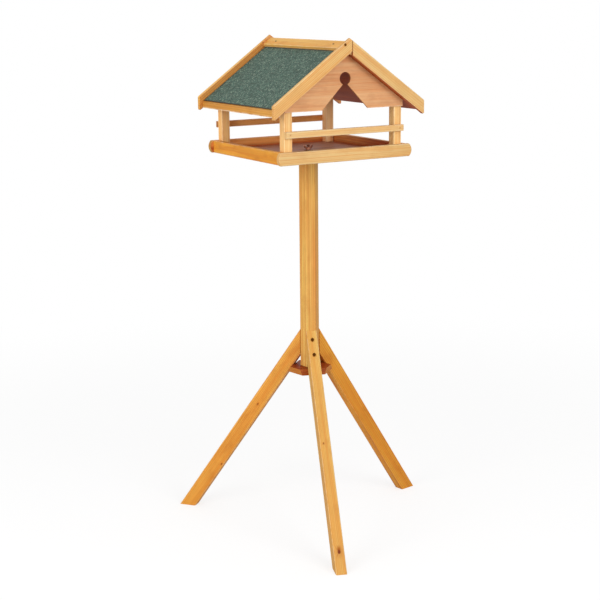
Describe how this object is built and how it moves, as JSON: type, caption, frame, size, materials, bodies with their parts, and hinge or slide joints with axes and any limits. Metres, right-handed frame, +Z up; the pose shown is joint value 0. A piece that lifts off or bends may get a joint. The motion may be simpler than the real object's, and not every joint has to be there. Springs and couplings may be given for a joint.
{
  "type": "bird table",
  "caption": "Open feeding house with a felted gable roof on a tray, raised on a hexagonal pole with three raked legs.",
  "frame": {"origin": "on the ground, in the middle of the part's bounding box seen from above; the pole's axis stands 52.8 mm to the left of it and 26.8 mm behind it", "axes": "+Z up, the front gable faces -Y, +X to the right seen from the front"},
  "size_m": [0.5475, 0.5736, 1.1111],
  "materials": {
    "pine": "honey stained pine, satin",
    "orange_pine": "darker honey stained pine, satin",
    "ply": "stained thin plywood, matt",
    "floor_ply": "brown stained plywood, matt",
    "felt": "green mineral roofing felt, rough",
    "screw": "dark brown coated steel",
    "nail": "dull yellowed steel",
    "zinc": "dull darkened steel"
  },
  "bodies": {
    "table": {"leg_front": "orange_pine", "leg_right": "orange_pine", "leg_left": "orange_pine", "spreader_plate": "orange_pine", "pole": "pine", "leg_front_screw_1": "screw", "leg_front_screw_2": "screw", "leg_right_screw_1": "screw", "leg_right_screw_2": "screw", "leg_left_screw_1": "screw", "leg_left_screw_2": "screw", "spreader_screw": "screw", "tray_floor": "floor_ply", "tray_front_board": "pine", "tray_rear_board": "pine", "tray_left_board": "orange_pine", "tray_right_board": "pine", "hanger_bolt": "zinc", "tray_washer": "zinc", "post_front_left": "pine", "post_front_right": "pine", "post_rear_left": "pine", "post_rear_right": "pine", "post_screw_front_left": "screw", "post_screw_front_right": "screw", "post_screw_rear_left": "screw", "post_screw_rear_right": "screw", "front_rail": "pine", "rear_rail": "pine", "rail_nail_front_left": "nail", "rail_nail_front_right": "nail", "rail_nail_rear_left": "nail", "rail_nail_rear_right": "nail", "gable_front": "ply", "gable_rear": "ply", "roof_panel_left": "pine", "roof_panel_right": "pine", "roof_felt_left": "felt", "roof_felt_right": "felt", "ridge_board_left": "pine", "ridge_board_right": "pine", "ridge_nail_front_left": "nail", "ridge_nail_front_right": "nail", "ridge_nail_rear_left": "nail", "ridge_nail_rear_right": "nail", "barge_front_left": "pine", "barge_front_right": "pine", "barge_rear_left": "pine", "barge_rear_right": "pine", "barge_screw_front": "screw", "barge_screw_rear": "screw"},
    "nut": {"wing_nut": "zinc"}
  },
  "joints": [
    {"name": "wing_nut_turn", "type": "hinge", "parent": "table", "child": "nut", "pos_m": [-0.05283, 0.02682, 0.865], "axis": [0, 0, 1], "continuous": true}
  ]
}
